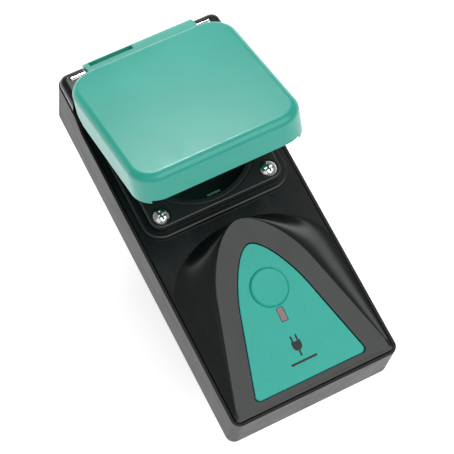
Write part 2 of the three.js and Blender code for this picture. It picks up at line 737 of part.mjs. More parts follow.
function relayBobbin() {
  const body = join(rodY(2.8, -83.4, armatureY - 1.6, relayX, relayZ, 20),
    rodY(4.9, -83.4, -82.5, relayX, relayZ, 20),
    rodY(4.9, armatureY - 2.5, armatureY - 1.6, relayX, relayZ, 20));
  return cut(body, rodY(2, -86, -60, relayX, relayZ, 20));
}

function relayCoil() {
  const body = rodY(4.5, -82.3, armatureY - 2.7, relayX, relayZ, 24);
  return cut(body, rodY(3, -86, -60, relayX, relayZ, 20));
}

function relayArmature() {
  return box(armaturePivotX - 0.6, -5, armatureY, armatureY + 1.2, relayZ - 4, relayZ + 4);
}

function contactBridge() {
  return box(-4.7, -1.6, armatureY - 0.6, armatureY + 1.8, relayZ - 4, relayZ + 4);
}

const poles = { line: { x: 12.5, z: relayZ + 2 }, neutral: { x: 6, z: relayZ - 2.2 } };

// A spring leaf that reaches out from the bridge, with a round contact at its end.
function movingContact({ x, z }) {
  const leaf = box(-1.3, x + 1.6, armatureY, armatureY + 0.5, z - 1.3, z + 1.3);
  return join(leaf, rodY(1.2, armatureY - 0.8, armatureY + 0.2, x, z, 16));
}

function fixedContact({ x, z }) {
  const swing = (x - armaturePivotX) * Math.sin(relayStroke * Math.PI / 180);
  const face = armatureY - 0.8 - swing - gap;
  return join(box(x - 1.5, x + 1.5, face - 2, face - 1, boardTopZ + restGap, z + 1.5),
    rodY(1.2, face - 1.5, face, x, z, 16));
}

function filterCapacitor() {
  return box(7.5, 18, -52, -46, boardTopZ + restGap, boardTopZ + 10);
}

function surgeDisc() {
  return join(rodY(4.5, -59.5, -56.5, 12.5, boardTopZ + 5.4, 20),
    box(9.8, 10.6, -58.4, -57.6, boardTopZ + restGap, boardTopZ + 3),
    box(14.4, 15.2, -58.4, -57.6, boardTopZ + restGap, boardTopZ + 3));
}

function controlChip() {
  return box(-15.5, -8.5, -51, -41, boardTopZ + restGap, boardTopZ + 2.2);
}

// ---------- lid, in its closed place, measured from the hinge axis ----------
function lid() {
  const top = rimZ + lidTopRise;
  const points = (inset) => outlinePoints(lidOutline(-inset), 6);
  // layers of a rounded top edge
  const roundedTop = (inset, radius, z) => [0, 18, 36, 54, 72, 90].map((degrees) => {
    const angle = THREE.MathUtils.degToRad(degrees);
    return [points(inset + radius * (1 - Math.cos(angle))), z - radius * (1 - Math.sin(angle))];
  });
  const outer = hull([points(0), rimZ], ...roundedTop(0, lidEdgeRadius, top));
  const inner = hull([points(lidWall), rimZ - 1],
    ...roundedTop(lidWall, lidEdgeRadius - lidWall, top - lidCeiling));
  let body = cut(outer, inner).intersect(rimRampCutter(lidSkirtRise));
  // the front skirt stops short between its two corner lugs
  const lugX = lidHalfWidth - lidLugLength;
  const skirtZ = rimZ + lidSkirtRise + lidLugDrop;
  body = cut(body, box(-lugX, lugX, lidFrontY - 2, lidFrontY + lidWall + 1, rimZ - 2, skirtZ));
  const tab = [];
  const half = barrelHalf;
  const tabFrontY = lidRearY - 2.6;
  for (const x of [-half, half]) {
    tab.push([x, tabFrontY, top - 0.8], [x, lidRearY - 1.2, top - 5.5]);
    for (let i = 0; i < 20; i += 1) {
      const angle = (2 * Math.PI * i) / 20;
      tab.push([x, hingeY + barrelRadius * Math.cos(angle), hingeZ + barrelRadius * Math.sin(angle)]);
    }
  }
  body = join(body, hullOfPoints(tab));
  body = cut(body, rodX(hingePinRadius + gap, -half - 1, half + 1, hingeY, hingeZ));
  // slot in the barrel that shows the hinge pin
  body = cut(body, box(-half + lidWall, -hingeSlotEnd,
    hingeY - hingeSlotFront, hingeY + hingeSlotRear, hingeZ, hingeZ + 6));
  return geometryOf(body).translate(0, -hingeY, -hingeZ);
}

function lidGasket() {
  const top = rimZ + lidTopRise - lidCeiling - gap;
  const low = flangeTopZ + 0.3;
  const ring = cut(post(23.2, low, top, 0, 0, roundSides), post(21, low - 1, top + 1, 0, 0, roundSides));
  return geometryOf(ring).translate(0, -hingeY, -hingeZ);
}

function hingePin() {
  return rodX(hingePinRadius, -hingePinHalf, hingePinHalf, hingeY, hingeZ, 20);
}

// ---------- finishes ----------
const finish = (color, roughness, metalness = 0) => new THREE.MeshStandardMaterial({
  color, roughness, metalness,
});
const finishes = {
  blackShell: finish(0x3a3a39, 0.35),
  blackCover: finish(0x2c2e2e, 0.3),
  blackInsert: finish(0x1c1f1f, 0.4),
  green: finish(0x3fb09a, 0.4),
  rubber: finish(0x161616, 0.85),
  chrome: finish(0xc9ccce, 0.2, 1),
  steel: finish(0x9a9da0, 0.35, 1),
  brass: finish(0xb79a58, 0.35, 1),
  copper: finish(0xb4693c, 0.4, 1),
  board: finish(0x1f5b3a, 0.6),
  ferrite: finish(0x3b3b40, 0.7),
  red: finish(0x8d4a4d, 0.3),
  cream: finish(0xd8d2bd, 0.5),
  blueWire: finish(0x2c56a0, 0.5),
  brownWire: finish(0x6a4026, 0.5),
  amber: finish(0xc08a2a, 0.5),
};

// ---------- assembly ----------
const adaptor = new THREE.Group();
const lidGroup = new THREE.Group();
lidGroup.position.set(0, hingeY, hingeZ);
lidGroup.rotation.x = -lidOpenAngle * Math.PI / 180;
adaptor.add(lidGroup);

function add(name, shape, material, parent = adaptor) {
  const geometry = shape.isBufferGeometry ? shape : geometryOf(shape);
  const mesh = new THREE.Mesh(geometry, finishes[material]);
  mesh.name = name;
  parent.add(mesh);
}

add('rear_housing', rearHousing(), 'blackShell');
add('front_cover', frontCover(), 'blackCover');
add('housing_seal', housingSeal(), 'rubber');
housingScrewSpots.forEach((spot, i) => add(`housing_screw_${i + 1}`, housingScrew(spot), 'steel'));

add('outlet_insert', outletInsert(), 'blackInsert');
add('outlet_gasket', outletGasket(), 'rubber');
corners.forEach((corner, i) => add(`flange_screw_${i + 1}`, flangeScrew(corner), 'chrome'));
add('outlet_earth_clip', outletEarthClip(), 'chrome');
add('outlet_sleeve_line', socketSleeve(-1), 'brass');
add('outlet_sleeve_neutral', socketSleeve(1), 'brass');

add('plug_pin_line', plugPin(-1), 'chrome');
add('plug_pin_neutral', plugPin(1), 'chrome');
add('plug_earth_strap', plugEarthStrap(), 'chrome');
add('earth_link', earthLink(), 'copper');

add('fin_panel', finPanel(), 'green');
add('button', button(), 'green');
add('button_spring', buttonSpring(), 'steel');
add('indicator_lens', indicatorLens(), 'red');

add('circuit_board', circuitBoard(), 'board');
boardScrewSpots.forEach((spot, i) => add(`board_screw_${i + 1}`, boardScrew(spot), 'steel'));
add('push_switch', pushSwitch(), 'ferrite');
add('indicator_lamp', indicatorLamp(), 'red');
add('transformer_core', transformerCore(), 'ferrite');
add('transformer_winding', transformerWinding(), 'copper');
add('feed_wire_line', feedWire(-1), 'brownWire');
add('feed_wire_neutral', feedWire(1), 'blueWire');
add('load_wire_line', loadWire(-1), 'brownWire');
add('load_wire_neutral', loadWire(1), 'blueWire');
add('filter_capacitor', filterCapacitor(), 'amber');
add('surge_disc', surgeDisc(), 'blueWire');
add('control_chip', controlChip(), 'ferrite');

add('relay_yoke', relayYoke(), 'steel');
add('relay_bobbin', relayBobbin(), 'cream');
add('relay_coil', relayCoil(), 'copper');
add('relay_armature', relayArmature(), 'steel');
add('contact_bridge', contactBridge(), 'cream');
for (const [pole, place] of Object.entries(poles)) {
  add(`moving_contact_${pole}`, movingContact(place), 'brass');
  add(`fixed_contact_${pole}`, fixedContact(place), 'brass');
}

add('lid', lid(), 'green', lidGroup);
add('lid_gasket', lidGasket(), 'rubber', lidGroup);
add('hinge_pin', hingePin(), 'chrome');

export default adaptor;
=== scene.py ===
import json
import math

import bmesh
import bpy
from mathutils import Matrix, Vector


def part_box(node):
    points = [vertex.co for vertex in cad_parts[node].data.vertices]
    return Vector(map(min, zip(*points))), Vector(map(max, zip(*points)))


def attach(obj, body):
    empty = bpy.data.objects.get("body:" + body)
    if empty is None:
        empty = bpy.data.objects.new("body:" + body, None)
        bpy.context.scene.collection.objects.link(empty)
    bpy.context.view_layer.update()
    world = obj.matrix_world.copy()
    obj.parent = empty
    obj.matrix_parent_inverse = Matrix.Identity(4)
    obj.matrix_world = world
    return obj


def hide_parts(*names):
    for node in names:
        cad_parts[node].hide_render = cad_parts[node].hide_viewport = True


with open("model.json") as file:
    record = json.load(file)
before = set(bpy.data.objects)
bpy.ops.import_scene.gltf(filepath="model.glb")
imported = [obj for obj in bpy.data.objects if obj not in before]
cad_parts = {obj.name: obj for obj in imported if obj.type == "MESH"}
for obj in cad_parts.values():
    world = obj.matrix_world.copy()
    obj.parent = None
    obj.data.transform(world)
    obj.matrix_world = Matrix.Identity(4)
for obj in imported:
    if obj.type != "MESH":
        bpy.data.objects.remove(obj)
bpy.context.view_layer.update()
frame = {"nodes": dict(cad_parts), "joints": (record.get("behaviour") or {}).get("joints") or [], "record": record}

unit = 0.001        # shapes are worked out in millimetres and built in metres


def corners(node):        # lowest and highest corner of a CAD node, in millimetres
    return tuple(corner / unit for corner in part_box(node))


def centre(node):
    low, high = corners(node)
    return (low + high) / 2


# the sizes that every outer piece is worked out from
shellLow, shellHigh = corners("rear_housing")
coverLow, coverHigh = corners("front_cover")
insertLow, insertHigh = corners("outlet_insert")
housing = {
    "halfWidth": shellHigh.x,
    "footY": shellLow.y,
    "headY": shellHigh.y,
    "rampRise": 3.3,
    "cornerRadius": 3,
    "lip": 0.9,
    "seam": 0.35,
    "wall": 2.6,
    "floor": 2,
    "backZ": 18.5,
}
rimZ = shellHigh.z - housing["rampRise"]
lidJoint = next(joint for joint in frame["joints"] if joint["name"] == "lid_hinge")
hingeY, hingeZ = (value / unit for value in lidJoint["pos_m"][1:])
lidAngle = -math.radians(lidJoint["range_deg"][0])
print("frame read")


# ---------- outlines and solids ----------
def arc(x, y, radius, start, end, steps):
    turns = [math.radians(start + (end - start) * i / steps) for i in range(steps + 1)]
    return [(x + radius * math.cos(turn), y + radius * math.sin(turn)) for turn in turns]


def circle(x, y, radius, steps=96):
    return arc(x, y, radius, 0, 360, steps)[:-1]


def roundedRect(x0, x1, y0, y1, front, rear=None, steps=10):
    rear = front if rear is None else rear
    return (arc(x1 - front, y0 + front, front, -90, 0, steps)
            + arc(x1 - rear, y1 - rear, rear, 0, 90, steps)
            + arc(x0 + rear, y1 - rear, rear, 90, 180, steps)
            + arc(x0 + front, y0 + front, front, 180, 270, steps))


def curve(first, second, third, fourth, steps):        # points of a cubic curve, without its end
    points = []
    for i in range(steps):
        t = i / steps
        weights = ((1 - t) ** 3, 3 * t * (1 - t) ** 2, 3 * t * t * (1 - t), t ** 3)
        points.append(tuple(sum(w * p[k] for w, p in zip(weights, (first, second, third, fourth)))
                            for k in (0, 1)))
    return points


def finOutline(apexY, shoulderX, shoulderY, spread, endY, endRadius, bendY=None, steps=28):
    """Right half from the nose down, then the left half mirrored."""
    reach = apexY - shoulderY
    bendY = endY - 1 if bendY is None else bendY
    legX = lambda y: shoulderX + spread * (shoulderY - max(y, bendY))
    nose = 0.6 * (shoulderX - spread * reach)
    leg = 0.45 * reach
    right = curve((0, apexY), (nose, apexY), (shoulderX - spread * leg, shoulderY + leg),
                  (shoulderX, shoulderY), steps)
    kneeY = max(bendY, endY + endRadius + 1)
    right += [(legX(shoulderY + (kneeY - shoulderY) * i / 8), shoulderY + (kneeY - shoulderY) * i / 8)
              for i in range(9)]
    endX = legX(endY + endRadius)
    right += arc(endX - endRadius, endY + endRadius, endRadius, 0, -90, 5)
    return right + [(-x, y) for x, y in reversed(right[1:])]


def meshObject(name, mesh):
    data = bpy.data.meshes.new(name)
    mesh.to_mesh(data)
    mesh.free()
    made = bpy.data.objects.new(name, data)
    bpy.context.scene.collection.objects.link(made)
    return made


def loft(name, rings):        # closed solid through rings of points in millimetres
    mesh = bmesh.new()
    loops = [[mesh.verts.new(Vector(point) * unit) for point in ring] for ring in rings]
    for lower, upper in zip(loops, loops[1:]):
        for i, start in enumerate(lower):
            j = (i + 1) % len(lower)
            mesh.faces.new((start, lower[j], upper[j], upper[i]))
    mesh.faces.new(list(reversed(loops[0])))
    mesh.faces.new(loops[-1])
    bmesh.ops.remove_doubles(mesh, verts=mesh.verts, dist=2e-6)
    bmesh.ops.recalc_face_normals(mesh, faces=mesh.faces)
    return meshObject(name, mesh)


def level(outline, z):
    return [(x, y, z) for x, y in outline]


def prism(outline, z0, z1):
    return loft("prism", [level(outline, z0), level(outline, z1)])


def roundSteps(radius, steps=5):        # inset and drop along a quarter round
    turns = [math.pi / 2 * i / steps for i in range(steps + 1)]
    return [(radius * (1 - math.cos(turn)), radius * (1 - math.sin(turn))) for turn in turns]


def slab(outlineAt, z0, z1, top=0.5, bottom=0):        # a prism with its top and bottom edges rounded
    rings = [level(outlineAt(inset), z0 + drop) for inset, drop in reversed(roundSteps(bottom))] if bottom else [
        level(outlineAt(0), z0)]
    rings += [level(outlineAt(inset), z1 - drop) for inset, drop in roundSteps(top)]
    return loft("slab", rings)


def post(radius, z0, z1, x=0, y=0, steps=96):
    return prism(circle(x, y, radius, steps), z0, z1)


def block(x0, x1, y0, y1, z0, z1):
    return prism([(x0, y0), (x1, y0), (x1, y1), (x0, y1)], z0, z1)


def profileX(outline, x0, x1):        # an outline in (y, z) drawn out along X
    return loft("profile", [[(x, y, z) for y, z in outline] for x in (x0, x1)])


def rodX(radius, x0, x1, y, z, steps=40):
    return profileX(circle(y, z, radius, steps), x0, x1)


def lathe(name, profile, x, y, steps=64):        # profile of (radius, z), closed on the axis
    return loft(name, [level(circle(x, y, max(radius, 0.001), steps), z) for radius, z in profile])


def hull(points):
    mesh = bmesh.new()
    for point in points:
        mesh.verts.new(Vector(point) * unit)
    made = bmesh.ops.convex_hull(mesh, input=mesh.verts)
    loose = [v for v in made["geom_interior"] + made["geom_unused"] if isinstance(v, bmesh.types.BMVert)]
    bmesh.ops.delete(mesh, geom=list(set(loose)), context="VERTS")
    bmesh.ops.dissolve_limit(mesh, angle_limit=0.01, verts=mesh.verts, edges=mesh.edges)
    bmesh.ops.recalc_face_normals(mesh, faces=mesh.faces)
    return meshObject("hull", mesh)


def settle(body):        # turn a piece's live modifiers into its mesh
    graph = bpy.context.evaluated_depsgraph_get()
    plain = bpy.data.meshes.new_from_object(body.evaluated_get(graph))
    body.modifiers.clear()
    old = body.data
    body.data = plain
    bpy.data.meshes.remove(old)
    return body


def combine(body, tools, operation):
    for tool in tools:
        modifier = body.modifiers.new("join", "BOOLEAN")
        modifier.operation = operation
        modifier.solver = "MANIFOLD"
        modifier.object = tool
    settle(body)
    for tool in tools:
        bpy.data.objects.remove(tool)
    return body


def join(body, *tools):
    return combine(body, tools, "UNION")


def cut(body, *tools):
    return combine(body, tools, "DIFFERENCE")


def keep(body, tool):
    return combine(body, [tool], "INTERSECT")


def bevel(body, width, segments=2, angle=40):
    mesh = bmesh.new()
    mesh.from_mesh(body.data)
    bmesh.ops.remove_doubles(mesh, verts=mesh.verts, dist=3e-6)
    bmesh.ops.dissolve_degenerate(mesh, dist=2e-6, edges=mesh.edges)
    mesh.to_mesh(body.data)
    mesh.free()
    modifier = body.modifiers.new("edges", "BEVEL")
    modifier.width = width * unit
    modifier.segments = segments
    modifier.limit_method = "ANGLE"
    modifier.angle_limit = math.radians(angle)
    modifier.use_clamp_overlap = True
    modifier.miter_outer = "MITER_ARC"
    return settle(body)


def finishPiece(body, name, rider, material, nodes, smoothAngle=32):
    body.data.polygons.foreach_set("use_smooth", [True] * len(body.data.polygons))
    body.data.set_sharp_from_angle(angle=math.radians(smoothAngle))
    even = body.modifiers.new("even", "WEIGHTED_NORMAL")        # keeps large flat faces flat
    even.keep_sharp = True
    settle(body)
    body.name = name
    body.data.name = name
    body.data.materials.clear()
    body.data.materials.append(material)
    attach(body, rider)
    if nodes:
        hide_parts(*nodes)
    return body


def wholeCopy(node):        # a merged copy of a CAD node's loose triangles
    mesh = bmesh.new()
    mesh.from_mesh(frame["nodes"][node].data)
    bmesh.ops.remove_doubles(mesh, verts=mesh.verts, dist=2e-6)
    bmesh.ops.dissolve_limit(mesh, angle_limit=math.radians(1), verts=mesh.verts, edges=mesh.edges)
    return meshObject(node + "_copy", mesh)


# ---------- finishes ----------
class Socket:        # a node's output; sums and products of it add Math nodes
    def __init__(self, finish, output):
        self.finish = finish
        self.output = output

    def maths(self, operation, first, second):
        return self.finish.node("ShaderNodeMath", {"operation": operation}, {0: first, 1: second})

    def __add__(self, other):
        return self.maths("ADD", self, other)

    def __radd__(self, other):
        return self.maths("ADD", other, self)

    def __sub__(self, other):
        return self.maths("SUBTRACT", self, other)

    def __rsub__(self, other):
        return self.maths("SUBTRACT", other, self)

    def __mul__(self, other):
        return self.maths("MULTIPLY", self, other)

    def __rmul__(self, other):
        return self.maths("MULTIPLY", other, self)

    def __pow__(self, other):
        return self.maths("POWER", self, other)


class Finish:
    def __init__(self, name, **fixed):
        self.material = bpy.data.materials.new(name)
        self.material.use_nodes = True
        self.tree = self.material.node_tree
        self.shader = next(n for n in self.tree.nodes if n.type == "BSDF_PRINCIPLED")
        for socket, value in fixed.items():
            self.shader.inputs[socket.replace("_", " ")].default_value = value
        self.place = self.node("ShaderNodeTexCoord", output="Object")

    def node(self, kind, settings=None, values=None, output=0):
        made = self.tree.nodes.new(kind)
        for name, value in (settings or {}).items():
            if name == "stops":
                self.setStops(made.color_ramp, value)
            else:
                setattr(made, name, value)
        for name, value in (values or {}).items():
            if isinstance(value, Socket):
                self.tree.links.new(value.output, made.inputs[name])
            else:
                made.inputs[name].default_value = value
        return Socket(self, made.outputs[output])

    def setStops(self, ramp, stops):
        while len(ramp.elements) < len(stops):
            ramp.elements.new(0.5)
        for element, (place, shade) in zip(ramp.elements, stops):
            element.position = place
            element.color = (shade, shade, shade, 1)

    def noise(self, size, detail=3, stretch=None):        # size of the pattern in millimetres
        place = self.place
        if stretch:
            place = self.node("ShaderNodeMapping", values={"Vector": place, "Scale": stretch})
        return self.node("ShaderNodeTexNoise", {"noise_dimensions": "3D"},
                         {"Vector": place, "Scale": 1 / (size * unit), "Detail": detail})

    def ramp(self, value, *stops):
        return self.node("ShaderNodeValToRGB", {"stops": stops}, {"Fac": value})

    def mix(self, factor, first, second):
        return self.node("ShaderNodeMix", {"data_type": "RGBA"}, {0: factor, 6: first, 7: second}, output=2)

    def bump(self, height, depth, strength=1, under=None):        # depth in millimetres
        values = {"Height": height, "Distance": depth * unit, "Strength": strength}
        if under:
            values["Normal"] = under
        return self.node("ShaderNodeBump", values=values)

    def wire(self, **sockets):
        for name, value in sockets.items():
            self.tree.links.new(value.output, self.shader.inputs[name.replace("_", " ")])
        return self.material


def colour(red, green, blue):
    return (red, green, blue, 1)


def mouldedPlastic(name, main, roughness, grain=0.35, grainDepth=0.012, dust=0.0, coat=0.0, specular=0.5):
    """Moulded plastic: fine spark-eroded grain, slow sink of the surface, faint handling marks."""
    finish = Finish(name, Coat_Weight=coat, Coat_Roughness=0.12, Specular_IOR_Level=specular)
    fine = finish.noise(grain, 2)
    slow = finish.noise(14, 2)
    smear = finish.ramp(finish.noise(5, 5, (1, 0.35, 1)), (0.45, 0), (0.75, 1))
    darker = colour(*(value * 0.88 for value in main[:3]))
    lighter = colour(*(value * 1.08 + 0.002 for value in main[:3]))
    base = finish.mix(slow, darker, lighter)
    if dust:
        specks = finish.ramp(finish.noise(0.5, 1), (0.66, 0), (0.8, 1))
        base = finish.mix(specks * dust, base, colour(0.75, 0.75, 0.72))
    wear = roughness + 0.06 * (slow - 0.5) + 0.07 * smear + 0.05 * (fine - 0.5)
    relief = finish.bump(slow, 0.012, 0.5)
    return finish.wire(Base_Color=base, Roughness=wear, Normal=finish.bump(fine, grainDepth, 0.6, relief))


def plated(name, main, roughness, brushing=None, tarnish=0.15):
    """Bare or plated metal: drawn lines or fine pits, and patches a little duller."""
    finish = Finish(name, Metallic=1.0)
    lines = finish.noise(0.25, 3, brushing)
    patches = finish.ramp(finish.noise(2.2, 4), (0.4, 0), (0.7, 1))
    dull = colour(*(value * (1 - tarnish) for value in main[:3]))
    wear = roughness + 0.1 * patches + 0.08 * (lines - 0.5)
    return finish.wire(Base_Color=finish.mix(patches, main, dull), Roughness=wear,
                       Normal=finish.bump(lines, 0.006, 0.5))


def labelFoil(name, main):
    """Textured polycarbonate foil: close pebble grain with a soft sheen."""
    finish = Finish(name, Specular_IOR_Level=0.45)
    pebble = finish.node("ShaderNodeTexVoronoi", {"feature": "SMOOTH_F1"},
                         {"Vector": finish.place, "Scale": 1 / (0.42 * unit), "Smoothness": 0.6})
    cloud = finish.noise(6, 4)
    fleck = finish.ramp(finish.noise(0.55, 2), (0.35, 0), (0.7, 1))
    deep = colour(*(value * 0.86 for value in main[:3]))
    pale = colour(*(value * 1.07 + 0.01 for value in main[:3]))
    base = finish.mix(0.55 * cloud + 0.45 * fleck, deep, pale)
    wear = 0.42 + 0.1 * (fleck - 0.5)
    return finish.wire(Base_Color=base, Roughness=wear, Normal=finish.bump(pebble, 0.03, 0.55))


def softRubber(name, main):
    finish = Finish(name, Specular_IOR_Level=0.3)
    fine = finish.noise(0.2, 3)
    bloom = finish.ramp(finish.noise(4, 4), (0.4, 0), (0.8, 1))
    base = finish.mix(bloom, main, colour(*(value * 1.6 + 0.01 for value in main[:3])))
    return finish.wire(Base_Color=base, Roughness=0.72 + 0.12 * bloom, Normal=finish.bump(fine, 0.02, 0.6))


def tintedWindow(name, main):
    finish = Finish(name, Coat_Weight=0.6, Coat_Roughness=0.08)
    prisms = finish.node("ShaderNodeTexWave", {"wave_type": "BANDS", "bands_direction": "X"},
                         {"Vector": finish.place, "Scale": 1 / (1.6 * unit), "Distortion": 0.4})
    cloud = finish.noise(1.2, 2)
    base = finish.mix(0.6 * prisms + 0.4 * cloud, main, colour(*(value * 1.7 + 0.04 for value in main[:3])))
    return finish.wire(Base_Color=base, Roughness=0.28 + 0.1 * cloud, Normal=finish.bump(prisms, 0.03, 0.5))


def printedBoard(name, main):
    finish = Finish(name, Coat_Weight=0.3)
    weave = finish.node("ShaderNodeTexChecker", values={"Vector": finish.place, "Scale": 1 / (0.8 * unit),
                                                        "Color1": colour(0, 0, 0), "Color2": colour(1, 1, 1)})
    cloud = finish.noise(3, 4)
    base = finish.mix(0.25 * weave + 0.5 * cloud, main, colour(*(value * 1.5 + 0.01 for value in main[:3])))
    return finish.wire(Base_Color=base, Roughness=0.38 + 0.12 * cloud, Normal=finish.bump(weave, 0.01, 0.4))


green = colour(0.016, 0.4, 0.31)
panelGreen = colour(0.012, 0.5, 0.4)
finishes = {
    "housing_black": mouldedPlastic("satinBlackHousing", colour(0.018, 0.018, 0.017), 0.42, 0.3, 0.01, specular=0.28),
    "cover_black": mouldedPlastic("satinBlackCover", colour(0.0045, 0.0065, 0.0068), 0.24, 0.3, 0.006),
    "insert_black": mouldedPlastic("satinBlackInsert", colour(0.012, 0.015, 0.015), 0.3, 0.25, 0.01),
    "lid_green": mouldedPlastic("satinGreenLid", green, 0.34, 0.45, 0.006, dust=0.05, coat=0.3),
    "panel_green": labelFoil("pebbledGreenFoil", panelGreen),
    "lens_red": tintedWindow("smokedRedWindow", colour(0.16, 0.075, 0.08)),
    "seal_rubber": softRubber("blackRubber", colour(0.012, 0.012, 0.012)),
    "screw_chrome": plated("brightZincScrew", colour(0.78, 0.78, 0.77), 0.14, tarnish=0.1),
    "pin_nickel": plated("nickelPin", colour(0.72, 0.7, 0.66), 0.2, (1, 1, 0.05)),
    "steel": plated("plainSteel", colour(0.5, 0.5, 0.49), 0.34, (1, 0.08, 1)),
    "brass": plated("plainBrass", colour(0.68, 0.5, 0.2), 0.32),
    "copper": plated("lacqueredCopper", colour(0.66, 0.3, 0.16), 0.3),
    "board_green": printedBoard("solderMask", colour(0.02, 0.16, 0.06)),
    "ferrite": mouldedPlastic("darkFerrite", colour(0.035, 0.035, 0.04), 0.55, 0.2, 0.02),
    "cream_plastic": mouldedPlastic("creamBobbin", colour(0.6, 0.54, 0.4), 0.45),
    "wire_brown": mouldedPlastic("brownInsulation", colour(0.13, 0.05, 0.025), 0.4),
    "wire_blue": mouldedPlastic("blueInsulation", colour(0.03, 0.09, 0.4), 0.4),
    "capacitor_amber": mouldedPlastic("amberCase", colour(0.6, 0.32, 0.05), 0.3),
}
inkBlack = mouldedPlastic("printingInk", colour(0.012, 0.016, 0.015), 0.5, 0.15, 0.01)
slots = {part["node"]: part["material_slot"] for part in frame["record"]["subparts"]}
for node, slot in slots.items():
    data = frame["nodes"][node].data
    data.materials.clear()
    data.materials.append(finishes[slot])
print("finishes made")


# ---------- rear shell ----------
rearShell = {"chamfer": 0.5, "rampStartY": 18, "rampEndY": 23.5, "bossRadius": 18.8, "bossWall": 2.4,
             "bossEnd": 3, "grooveHalf": 2.2, "channelHalf": 2.9, "screwRecess": 3, "edge": 0.25}


def housingOutline(inset):
    radius = max(housing["cornerRadius"] - inset, 0.6)
    x = housing["halfWidth"] - inset
    return roundedRect(-x, x, housing["footY"] + inset, housing["headY"] - inset, radius)


def rampRegion(lift):        # everything above the rim, which steps up beside the hinge
    foot, head = housing["footY"] - 10, housing["headY"] + 10
    low, high = rimZ + lift, rimZ + lift + housing["rampRise"]
    return profileX([(foot, low), (rearShell["rampStartY"], low), (rearShell["rampEndY"], high), (head, high),
                     (head, rimZ + 40), (foot, rimZ + 40)], -60, 60)


def barrelRecess():
    half = hinge["half"] + 0.5
    return block(-half, half, lidSize["rearY"] - 4, housing["headY"] + 10, hingeZ - hinge["radius"] - 1, rimZ + 40)


def makeRearShell():
    size = rearShell
    backZ, top = housing["backZ"], shellHigh.z
    body = slab(housingOutline, backZ, top, top=0.01, bottom=size["chamfer"])
    inside = prism(housingOutline(housing["wall"]), backZ + housing["floor"], top + 20)
    ledge = prism(housingOutline(housing["lip"]), rimZ - 2.7, top + 20)
    body = cut(body, inside, ledge, rampRegion(0), barrelRecess())
    boss = slab(lambda inset: circle(0, 0, size["bossRadius"] - inset), 0, backZ + 1, top=0.01, bottom=0.6)
    body = join(body, boss)
    tools = [post(size["bossRadius"] - size["bossWall"], size["bossEnd"], backZ + 3)]
    for side in (-1, 1):
        grooveX = side * size["bossRadius"]
        half = size["grooveHalf"]
        tools.append(slab(lambda inset, x=grooveX: roundedRect(x - half, x + half, -2.8, 2.8, 0.6), -1, backZ - 1.5))
        channelY = side * (size["bossRadius"] + 0.25)
        tools.append(block(-size["channelHalf"], size["channelHalf"], channelY - 1.75, channelY + 1.75, -1, 16.2))
        tools.append(post(2.55, -1, size["bossEnd"] + 1, side * pinAt, 0, 48))
    for low, high in (corners(f"housing_screw_{i}") for i in range(1, 5)):
        x, y = (low.x + high.x) / 2, (low.y + high.y) / 2
        tools.append(post(size["screwRecess"], backZ - 1, backZ + 1.9, x, y, 40))
    body = cut(body, *tools)
    bevel(body, size["edge"], 3)
    return finishPiece(body, "rear_shell", "housing", finishes["housing_black"], ["rear_housing"])


# ---------- front cover ----------
lidSize = {"halfWidth": 28.6, "frontY": -28.4, "rearY": 30.1, "frontRadius": 8.5, "rearRadius": 9.5,
           "edge": 2.48, "topRise": 11.1, "skirtRise": 0.3, "wall": 1.5, "ceiling": 1.7,
           "lugLength": 3.6, "lugDrop": 1.1, "clearance": 0.8}
hinge = {"radius": 3.46, "half": 19.4, "pinRadius": 1.6, "slotEnd": 2.6}
cover = {"proud": 0.3, "edge": 1.8, "skin": 2.6, "collarHalf": 25.6, "collarRadius": 6.6, "collarRise": 1.5,
         "slope": 0.195, "midRise": 5.6, "midY": -62, "plateauSoft": 1.6, "hollow": 1.5, "crown": 1.6}
pinAt = 9.5
faceHalf = housing["halfWidth"] - housing["lip"] - housing["seam"]
faceFoot = housing["footY"] + housing["lip"] + housing["seam"]
bendY = -52 - (faceHalf - 17.8) / 0.305
coverTop = rimZ + cover["proud"]
slopeAngle = math.atan(cover["slope"])


def wedgeZ(y):
    return rimZ + cover["midRise"] + cover["slope"] * (y - cover["midY"])


def lidOutline(grow):
    x = lidSize["halfWidth"] + grow
    return roundedRect(-x, x, lidSize["frontY"] - grow, lidSize["rearY"] + grow,
                       max(lidSize["frontRadius"] + grow, 0.5), max(lidSize["rearRadius"] + grow, 0.5), 14)


def square(half, radius):
    return roundedRect(-half, half, -half, half, max(radius, 0.3))


def plateauOutline(inset):
    return finOutline(-30.8 - inset, 17.8 - inset, -52, 0.305, faceFoot + inset, 1.4, bendY)


def flankOutline(inset):
    return finOutline(-29.4 - inset, faceHalf - inset, -47, 0, faceFoot + inset, 1.4, bendY)


def panelOutline(grow):
    return finOutline(-40.6 + grow, 11.9 + grow, -59, 0.288, -84.9 - grow, 1.5)


def wedge(inset, drop, soft, rows=20):        # flanks that leave the face and the plateau without a crease
    foot, top = flankOutline(inset), plateauOutline(inset + soft)
    baseZ = coverTop - cover["edge"] - 1 if drop else coverTop - 0.05
    rings = []
    for row in range(rows + 1):
        height = row / rows
        rise = 1 - (1 - height ** cover["hollow"]) ** cover["crown"]
        rings.append([(footX + (topX - footX) * height, sideY + (topY - sideY) * height,
                       baseZ + (wedgeZ(topY) - drop - baseZ) * rise)
                      for (footX, sideY), (topX, topY) in zip(foot, top)])
    return loft("wedge", rings)


def slopedSlab(offset, thickness):        # between two planes that follow the plateau
    turn = Matrix.Translation(Vector((0, cover["midY"], wedgeZ(cover["midY"]) + offset)) * unit) @ Matrix.Rotation(
        slopeAngle, 4, "X")
    made = block(-80, 80, -80, 80, -thickness, 0)
    made.data.transform(turn)
    return made


